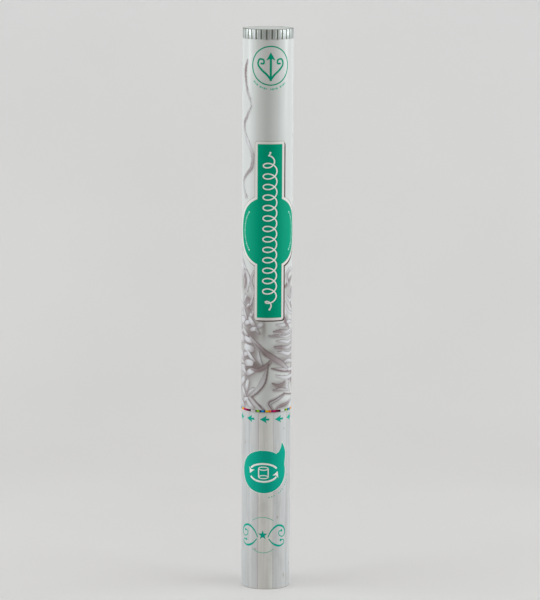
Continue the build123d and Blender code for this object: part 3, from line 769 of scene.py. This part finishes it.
def barrel_shapes():
    """Every solid printed shape on the barrel, lowest layer first, as (outline, colour)."""
    def label(grow, corner):
        return label_outline(grow, (FRONT_U, DISC_Z), (LABEL_WIDTH, LABEL_LOW, LABEL_HIGH), DISC_R, corner)

    shapes = [(label(OUTLINE + 0.6, 0.4), SOFT_SHADOW),
              (moved(label(OUTLINE + 0.2, 0.4), 1.5, -1.1), SHADOW),
              (label(OUTLINE, 0.4), RIM), (label(0, 0), GREEN)]
    # A curly streamer and dots run up the label.
    shapes += [(line, WHITE) for line in streamer_line(FRONT_U, LABEL_LOW + 9, LABEL_HIGH - 9)]
    # Dotted arcs inside the disc, left and right.
    for side in (0, 180):
        for k in range(-9, 10):
            r = 0.75 if k % 3 else 0.95
            shapes.append((dot(FRONT_U, DISC_Z, 31.4, side + k * 4.4, r), srgb(170, 218, 204)))
    # The badge: a ring round one upright arrow between two curled streamers, over a row of dots.
    shapes += [(disc(FRONT_U, BADGE_Z, BADGE_R), GREEN),
               (disc(FRONT_U, BADGE_Z, BADGE_R - 1.35), (*PAPER, 1.0)),
               (band([(FRONT_U, BADGE_Z - 16.0), (FRONT_U, BADGE_Z + 9)], 1.2), GREEN),
               (arrow_head((FRONT_U, BADGE_Z + 14.2), 90, 8.8, 4.9, 2.2), GREEN)]
    curl = [(0, -14.5), (4.0, -9.5), (9.5, -4.5), (13.6, 1.2), (12.2, 6.6), (7.8, 6.2), (7.4, 2.4),
            (10.0, 2.2)]
    for side in (-1, 1):
        path, t = smooth_path([(FRONT_U + side * u, BADGE_Z + z) for u, z in curl], 0.5)
        shapes += [(line, GREEN) for line in pieces_of_band(path, 1.15 - 0.25 * t)]
        shapes.append((disc(*path[-1], 1.1), GREEN))
    for k in range(-9, 10):
        if k % 5 != 4:
            r = 1.15 if k % 2 else 0.8
            shapes.append((dot(FRONT_U, BADGE_Z, 24.6, 270 + k * 5.2, r), FAINT_GREEN))
    # The colour bar along the barrel's foot.
    degree = pi / 180 * BARREL_R
    z0, z1 = BARREL_Z[0] + BAR_Z[0], BARREL_Z[0] + BAR_Z[1]
    for unit in range(360 // BAR_PITCH):
        start = BAR_START + BAR_PITCH * unit
        for low, high, colour in COLOUR_BAR:
            a, b = (start + low) * degree, (start + high) * degree
            for shift in (-360 * degree, 0, 360 * degree):
                if -pi * BARREL_R < a + shift and b + shift < pi * BARREL_R + LAP:
                    shapes.append((rectangle(a + shift, b + shift, z0, z1), colour))
    return shapes


# One run of the colour bar, as (start, end, colour), in degrees round the barrel.
COLOUR_BAR = (
    (0.0, 3.8, srgb(52, 84, 20)), (3.8, 9.8, srgb(142, 196, 10)), (9.8, 14.9, srgb(28, 50, 96)),
    (14.9, 19.9, srgb(10, 146, 214)), (19.9, 23.8, srgb(30, 60, 110)), (23.8, 30.4, srgb(226, 186, 0)),
    (30.4, 36.8, srgb(240, 118, 48)), (36.8, 42.7, srgb(150, 0, 98)), (42.7, 47.6, srgb(196, 0, 84)),
    (47.6, 54.9, srgb(112, 0, 62)), (54.9, 60.3, srgb(50, 4, 32)),
)


def streamer_line(cu, low, high):
    """A curled streamer drawn as one long looping line, opening out at both ends."""
    loops = 15
    t = np.linspace(0, 1, 46 * loops)
    a = 2 * pi * loops * t
    swell = np.minimum(1, np.minimum(t, 1 - t) * 12)
    path = np.stack([cu + 7.4 * np.sin(a) * swell, low + (high - low) * t - 5.2 * np.cos(a) * swell], 1)
    return pieces_of_band(path, 0.7) + [disc(*path[0], 1.1), disc(*path[-1], 1.1)]


BUBBLE = (-2.6, 128.6, 26.2, 23.2)  # its middle, half-width and half-height


def bubble_outline(grow=0.0):
    """A round speech bubble whose right side sweeps up into a pointed tail."""
    cu, cz, ru, rz = BUBBLE
    ru, rz = ru + grow, rz + grow
    angles = np.radians(np.linspace(57, 376, 84))
    ring = [(cu + ru * cos(a), cz + rz * sin(a)) for a in angles]
    tip = (18.6 + grow * 0.2, 160.2 + grow * 2.4)
    swept = [(23.4 + grow, 141.5), (24.0 + grow, 148.0), (22.0 + grow, 154.5)]
    outer, _ = smooth_path([ring[-1], *swept, tip], 1.0)
    inner, _ = smooth_path([tip, (17.2 - grow, 154.8), (14.8 - grow, 150.6 + grow), ring[0]], 1.0)
    return ring[:-1] + [tuple(p) for p in outer[:-1]] + [tuple(p) for p in inner[:-1]]


def twist_icon(cu, cz):
    """Two curved arrows chasing each other round a tube, for turning."""
    out = []
    for flip in (1, -1):
        a = np.linspace(radians(200), radians(338), 26)
        path = np.stack([cu + 15.5 * np.cos(a) * flip, cz + (8.2 * np.sin(a) - 1.5) * flip], 1)
        out += pieces_of_band(path, 0.95)
        tip = (cu + 15.9 * flip, cz + 1.4 * flip)
        out.append(arrow_head(tip, 66 if flip > 0 else 246, 6.4, 3.6, 1.6))
    for du in (-5.2, 5.2):
        out.append(band([(cu + du, cz - 4.6), (cu + du, cz + 4.6)], 0.6))
    for dz in (-4.6, 4.6):
        a = np.linspace(0, 2 * pi, 30)
        path = np.stack([cu + 5.2 * np.cos(a), cz + dz + 1.7 * np.sin(a)], 1)
        out += pieces_of_band(path, 0.5)
    return out


def flourish(cu, cz):
    """A scrolled ornament: a small star between two pairs of curls, between two thin arcs."""
    star = []
    for k in range(10):
        r = 5.4 if k % 2 == 0 else 2.3
        a = radians(90 + 36 * k)
        star.append((cu + r * cos(a), cz + r * sin(a)))
    out = [(star, GRIP_GREEN)]
    upper = [(5.5, -2.5), (9.5, 5.0), (16.5, 10.0), (24.0, 7.8), (27.0, 1.6), (23.5, -2.6), (18.8, -0.8),
             (18.4, 3.2), (21.8, 4.0)]
    lower = [(6.5, -4.2), (11.5, -9.6), (18.5, -12.4), (25.0, -10.4), (24.6, -6.4), (20.6, -6.4)]
    for side in (-1, 1):
        for curl in (upper, lower):
            path, t = smooth_path([(cu + side * u, cz + z) for u, z in curl], 0.5)
            half = 0.55 + 0.6 * np.sin(pi * np.minimum(1, 1.25 * t)) ** 2
            out += [(line, GRIP_GREEN) for line in pieces_of_band(path, half)]
            out.append((disc(*path[-1], 1.4), GRIP_GREEN))
    for start, end in ((52, 128), (232, 308)):
        ring = arc(cu, cz, 19.4, start, end, 30)
        out += [(line, FAINT_GREEN) for line in pieces_of_band(ring, 0.38)]
    return out


def grip_shapes():
    """The boards and every solid printed shape on the grip, lowest layer first."""
    shapes = []
    rng = np.random.default_rng(21)
    degree = pi / 180 * GRIP_R
    # Where one board ends and the next begins, in degrees round the grip, and each board's tone. Each board
    # has its own printed tone; on top of that the board at the front is painted lighter and those at the
    # sides darker, painted light that evens out the shading round the grip.
    edges = [-180, -158, -127, -101, -68, -42, -17.9, 17.4, 56.5, 88, 119, 152, 180 + LAP / degree]
    tones = [202, 206, 200, 197, 197, 206, 219, 201, 196, 201, 203, 206]
    z0, z1 = GRIP_Z[0] - 1, GRIP_Z[1] + 1
    for k, tone in enumerate(tones):
        a, b = edges[k] * degree, edges[k + 1] * degree
        warm = (tone, tone - 1, tone - 5) if k in (2, 6, 10) else (tone, tone + 1, tone + 1)
        shapes.append((rectangle(a, b, z0, z1), (*srgb(*warm), 1.0)))
        if k:
            half = 0.12 if k % 2 else 0.22
            dark = srgb(176, 172, 168) if k % 3 else srgb(182, 170, 175)
            shapes.append((rectangle(a - half, a + half, z0, z1), (*dark, 1.0)))
    # Knots and nail marks in the boards.
    for k in range(16):
        u, z = rng.uniform(-pi * GRIP_R, pi * GRIP_R), rng.uniform(12, 178)
        ru, rz = rng.uniform(0.5, 1.3), rng.uniform(1.2, 3.4)
        shapes.append((oval(u, z, ru, rz, 14), (*srgb(188, 184, 180), 1.0)))
        shapes.append((oval(u, z, ru * 0.45, rz * 0.45, 10), (*srgb(164, 158, 156), 1.0)))
    # Ten arrows round the top, all pointing the way to turn.
    for k in range(10):
        u = (-3.4 - 36 * k) * degree
        u = (u + pi * GRIP_R) % (2 * pi * GRIP_R) - pi * GRIP_R
        shapes.append((moved(TWIST_ARROW, u, 185.6), GRIP_GREEN))
    shapes += [(bubble_outline(0.45), WHITE), (bubble_outline(), GRIP_GREEN)]
    shapes += [(line, WHITE) for line in twist_icon(BUBBLE[0], BUBBLE[1] - 1.0)]
    for k in range(13):
        a = radians(-78 + 5.6 * k)
        u, z = BUBBLE[0] + 30.5 * cos(a), BUBBLE[1] + 28.5 * sin(a)
        if k % 4 != 3:
            shapes.append((disc(u, z, 0.8), FAINT_GREEN))
    shapes += flourish(-3.0, 59.5)
    return shapes


# The arrow that says which way to turn, round its own middle.
TWIST_ARROW = [(-5.4, 0.0), (-0.2, 2.7), (1.9, 4.3), (1.7, 2.2), (1.4, 1.0), (5.0, 1.3), (5.0, -1.1),
               (1.4, -1.0), (1.8, -2.3), (2.4, -4.2), (-0.2, -2.6)]


# ---- Wraps: a sheet of paper wound once round the tube, lapped at the back ----
LAP = 9.0  # how far the end of the sheet covers its beginning
PAPER_THICKNESS = 0.13
STEP = 0.14  # how much nearer the tube the single layer lies than the lapped end
RAMP = 3.0  # over which the sheet climbs on to its own beginning


def wrap_radius(u, r):
    """The outer radius of the sheet at u, in millimetres."""
    t = np.clip((np.asarray(u) - (pi * r - RAMP)) / RAMP, 0, 1)
    return r - STEP + STEP * t * t * (3 - 2 * t)


def rolled(u, z, r, depth):
    """Points of the sheet, depth under its outer face, in metres in the row frame."""
    radius = (wrap_radius(u, r) - depth) * MM
    angle = np.asarray(u) / r
    return np.stack([radius * np.sin(angle), -radius * np.cos(angle), np.asarray(z) * MM], 1)


def grid_points(u0, u1, rows):
    """Points spread over the sheet: rows is [(z low, z high, spacing round, spacing up)]."""
    out = []
    for low, high, du, dz in rows:
        us = np.linspace(u0, u1, max(2, int(round((u1 - u0) / du))) + 1)
        count = max(1, int(round((high - low) / dz)))
        for i in range(count):
            z = low + (high - low) * i / count
            shift = 0.5 * (us[1] - us[0]) if i % 2 else 0.0
            line = us[1:-1] + shift * (us[1:-1] < u1 - 1.01 * (us[1] - us[0]))
            out += [(u, z) for u in line]
    return out


def cut_sheet(points, faces):
    """Triangles between points, cut along faces. Gives the vertices, the triangles, the vertex that
    each point became, and the faces that each triangle lies in."""
    found = delaunay_2d_cdt([Vector(p) for p in points], [], faces, 1, 1e-6, True)
    verts, _, tris, sources, _, owners = found
    became = {source: i for i, merged in enumerate(sources) for source in merged}
    return np.array([(v.x, v.y) for v in verts]), tris, became, owners


def printed_wrap(name, r, zs, rows, shapes, ground, material, body, node):
    """The sheet as a closed mesh. Its outer face is cut along the outline of every printed shape."""
    u0, u1 = -pi * r, pi * r + LAP
    z0, z1 = zs
    rim_u = np.linspace(u0, u1, int((u1 - u0) / 0.9) + 1)
    rim_z = np.linspace(z0, z1, int((z1 - z0) / 1.6) + 1)
    rim = [(u, z0) for u in rim_u] + [(u1, z) for z in rim_z[1:]]
    rim += [(u, z1) for u in rim_u[::-1][1:]] + [(u0, z) for z in rim_z[::-1][1:-1]]
    inside = [p for p in grid_points(u0, u1, rows) if z0 + 0.3 < p[1] < z1 - 0.3]
    # Outlines are kept off the rim, so that both faces of the sheet share one rim.
    keep = 0.12
    outlines = []
    for outline, _ in shapes:
        held = [(min(max(u, u0 + keep), u1 - keep), min(max(z, z0 + keep), z1 - keep)) for u, z in outline]
        outlines.append(anticlockwise(finely(held)))
    whole = list(range(len(rim)))
    points, faces = list(rim), [whole]
    for outline in outlines:
        base = len(points)
        points += outline
        faces.append(list(range(base, base + len(outline))))
    points += inside
    flat, tris, out_at, owners = cut_sheet(points, faces)
    top = np.array([max(o) if o else 0 for o in owners])
    sparse = grid_points(u0, u1, [(z0, z1, 2.4, 8.0)])
    sparse = [p for p in sparse if z0 + 2 < p[1] < z1 - 2 and u0 + 1 < p[0] < u1 - 1]
    back, back_tris, in_at, _ = cut_sheet(rim + sparse, [whole])

    outer = rolled(flat[:, 0], flat[:, 1], r, 0)
    inner = rolled(back[:, 0], back[:, 1], r, PAPER_THICKNESS)
    n, k = len(outer), len(rim)
    polys = [tuple(f) for f in tris]
    polys += [tuple(i + n for i in reversed(f)) for f in back_tris]
    for i in whole:
        j = (i + 1) % k
        polys.append((out_at[j], out_at[i], in_at[i] + n, in_at[j] + n))
    mesh = bpy.data.meshes.new(name)
    mesh.from_pydata(np.vstack([outer, inner]).tolist(), [], polys)

    # Each corner of each face: its vertex, and the face it belongs to.
    corner = np.concatenate(polys)
    owner = np.repeat(np.arange(len(polys)), [len(p) for p in polys])
    # The picture shows where no shape lies; the sheet's back and rim are bare.
    picture = np.concatenate([ground(flat[:, 0], flat[:, 1]), np.ones((n, 1))], 1)
    solid = np.array([(0, 0, 0, 0)] + [c if len(c) == 4 else (*c, 0.0) for _, c in shapes])
    colours = np.tile((*srgb(226, 224, 219), 0.0), (len(corner), 1))
    printed = owner < len(tris)
    layer = top[owner[printed]]
    colours[printed] = np.where(layer[:, None] == 0, picture[corner[printed]], solid[layer])
    ink = mesh.color_attributes.new("Ink", "FLOAT_COLOR", "CORNER")
    ink.data.foreach_set("color", colours.astype(np.float32).ravel())
    mesh.shade_smooth()
    mesh.materials.append(MATERIALS[material])
    # The faces are flat strips of a round sheet, so their normals are set to the sheet's own.
    across = np.concatenate([flat[:, 0], back[:, 0]]) / r
    facing = np.stack([np.sin(across), -np.cos(across), np.zeros(len(across))], 1)
    facing[n:] *= -1
    normals = facing[corner]
    edge = owner >= len(tris) + len(back_tris)
    own = np.array([face.normal for face in mesh.polygons])
    normals[edge] = own[owner[edge]]
    mesh.normals_split_custom_set(normals.tolist())
    mesh.validate(clean_customdata=False)
    return place(mesh, name, material, body, node)


def place(mesh, name, slot, body, *nodes):
    """Makes mesh a piece of the object that rides on body and stands for nodes."""
    piece = bpy.data.objects.new(name, mesh)
    bpy.context.scene.collection.objects.link(piece)
    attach(piece, body)
    if nodes:
        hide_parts(*nodes)
    return piece


def make_wraps():
    """Both wraps; the rows are closest together where the barrel's picture has most detail."""
    canvas = barrel_picture()
    z0, z1 = BARREL_Z
    printed_wrap("printed_barrel_wrap", BARREL_R, BARREL_Z,
                 [(z0, 305, 0.72, 0.72), (305, 410, 0.95, 0.95), (410, z1, 1.15, 1.15)],
                 barrel_shapes(), canvas.sample, "barrel_print", "barrel", "barrel_wrap")

    def plain(u, z):
        return np.tile(np.array(srgb(190, 190, 188)), (len(u), 1))

    printed_wrap("printed_grip_wrap", GRIP_R, GRIP_Z, [(*GRIP_Z, 1.6, 3.0)],
                 grip_shapes(), plain, "grip_print", "grip", "grip_wrap")


# ---- Turned pieces ----
def turned_piece(name, profile, segments, material, centre=(0, 0), closed=False, wave=None):
    """A solid of revolution. profile is [(radius, height)] from the axis out and back to the axis;
    wave(angle, ring) gives a factor on a ring's radius."""
    verts, faces, rings = [], [], []
    for ring, (radius, height) in enumerate(profile):
        if radius < 1e-7:
            rings.append([len(verts)])
            verts.append((centre[0], centre[1], height))
            continue
        rings.append(list(range(len(verts), len(verts) + segments)))
        for s in range(segments):
            a = 2 * pi * s / segments
            rr = radius * (wave(a, ring) if wave else 1.0)
            verts.append((centre[0] + rr * cos(a), centre[1] + rr * sin(a), height))
    pairs = list(zip(rings, rings[1:]))
    if closed:
        pairs.append((rings[-1], rings[0]))
    for low, high in pairs:
        for s in range(segments):
            t = (s + 1) % segments
            if len(low) == 1:
                faces.append((low[0], high[t], high[s]))
            elif len(high) == 1:
                faces.append((low[s], low[t], high[0]))
            else:
                faces.append((low[s], low[t], high[t], high[s]))
    mesh = bpy.data.meshes.new(name)
    mesh.from_pydata(verts, [], faces)
    mesh.shade_smooth()
    mesh.set_sharp_from_angle(angle=radians(38))
    mesh.materials.append(MATERIALS[material])
    return mesh


FLUTES = 30
GROOVE_SHADE_DEPTH = 0.0003  # how deep a groove is when its painted shade is fully dark
CARD_WALL = 0.0022


def make_cap():
    """The ribbed silver cap, from the mouth of its spigot round over the top."""
    r, top, foot = cap_high.x, cap_high.z, cap_low.z
    head = wrap_high.z
    spigot, wall = tube_high.x - 0.0023, 0.0018
    profile = [(0, top - 0.003), (spigot - wall, top - 0.003), (spigot - wall, foot + 0.0004),
               (spigot - wall + 0.0003, foot), (spigot - 0.0006, foot), (spigot, foot + 0.0008),
               (spigot, head), (r - 0.0003, head), (r - 0.00008, head + 0.0001),
               (r, head + 0.0003), (r, top - 0.0006), (r - 0.0002, top - 0.0002), (r - 0.0006, top),
               (r - 0.0019, top), (r - 0.0022, top - 0.0002), (r - 0.0024, top - 0.0006), (0, top - 0.0006)]
    # How much of the ribs' depth each ring of the profile takes.
    ribbed = {7: 1.0, 8: 1.0, 9: 1.0, 10: 1.0, 11: 0.7}

    def ribs(angle, ring):
        if ring not in ribbed:
            return 1.0
        turn = (angle * FLUTES / (2 * pi)) % 1.0
        deep = exp(-(((turn - 0.24) / 0.15) ** 2))
        shallow = exp(-(((turn - 0.68) / 0.09) ** 2))
        return 1.0 - ribbed[ring] * (0.012 * deep + 0.0035 * shallow)

    mesh = turned_piece("ribbed_muzzle_cap", profile, FLUTES * 20, "silver_plastic", wave=ribs)
    # Painted shade: each vertex down in a groove of the ribs gets a dark value, the deeper the darker.
    shade = mesh.color_attributes.new("PaintedGrooveShade", "FLOAT_COLOR", "POINT")
    for vertex, colour in zip(mesh.vertices, shade.data):
        away = hypot(vertex.co.x, vertex.co.y)
        on_rim = vertex.co.z > head - 0.00001 and away > r - 0.0008
        deep = min(1.0, (r - away) / GROOVE_SHADE_DEPTH) if on_rim else 0.0
        colour.color = (deep, deep, deep, 1)
    place(mesh, "ribbed_muzzle_cap", "silver_plastic", "muzzle_cap", "muzzle_cap")


def make_tube(name, node, body):
    """A wound card tube with softened ends."""
    low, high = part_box(node)
    r, wall, soft = high.x, CARD_WALL, 0.00025
    z0, z1 = low.z, high.z
    profile = [(r - wall, z0 + soft), (r - wall + soft, z0), (r - soft, z0), (r, z0 + soft),
               (r, z1 - soft), (r - soft, z1), (r - wall + soft, z1), (r - wall, z1 - soft)]
    mesh = turned_piece(name, profile, 192, "card", closed=True)
    place(mesh, name, "card", body, node)


def make_rolls():
    """Each roll is wound film: its ends show the turns, a little uneven, and its tail is tucked in."""
    rng = np.random.default_rng(5)
    rolls = sorted(n for n in frame["nodes"] if n.startswith("streamer_roll"))
    for node in rolls:
        low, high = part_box(node)
        centre = ((low.x + high.x) / 2, (low.y + high.y) / 2)
        radius, hole, turns, edge = (high.x - low.x) / 2, 0.002, 22, 0.00018
        pitch = (radius - hole) / turns
        dish = rng.uniform(0.0001, 0.0007)
        ends = []
        for end, up in ((low.z, 1), (high.z, -1)):
            line = []
            for k in range(turns + 1):
                t = k / turns
                rr = hole + (radius - hole) * t
                z = end + up * (edge + dish * (1 - t) + 0.00012 * rng.random())
                line.append((rr, z - up * edge))
                if k < turns:
                    line.append((rr + pitch * 0.62, z + up * edge))
            ends.append(line)
        profile = ends[0] + [(radius, (low.z + high.z) / 2)] + ends[1][::-1]
        spin = rng.uniform(0, 2 * pi)

        def tail(a, ring):
            return 1 - 0.006 * (((a - spin) / (2 * pi)) % 1.0)

        mesh = turned_piece("wound_" + node, profile, 72, "silver_foil", centre, closed=True, wave=tail)
        place(mesh, "wound_" + node, "silver_foil", "payload", node)


make_wraps()
make_cap()
make_tube("wound_barrel_tube", "barrel_tube", "barrel")
make_tube("wound_grip_tube", "grip_tube", "grip")
make_rolls()

slot_of = {s["node"]: s["material_slot"] for s in frame["record"]["subparts"]}
for name, node in frame["nodes"].items():
    node.data.materials.clear()
    node.data.materials.append(MATERIALS[slot_of[name]])
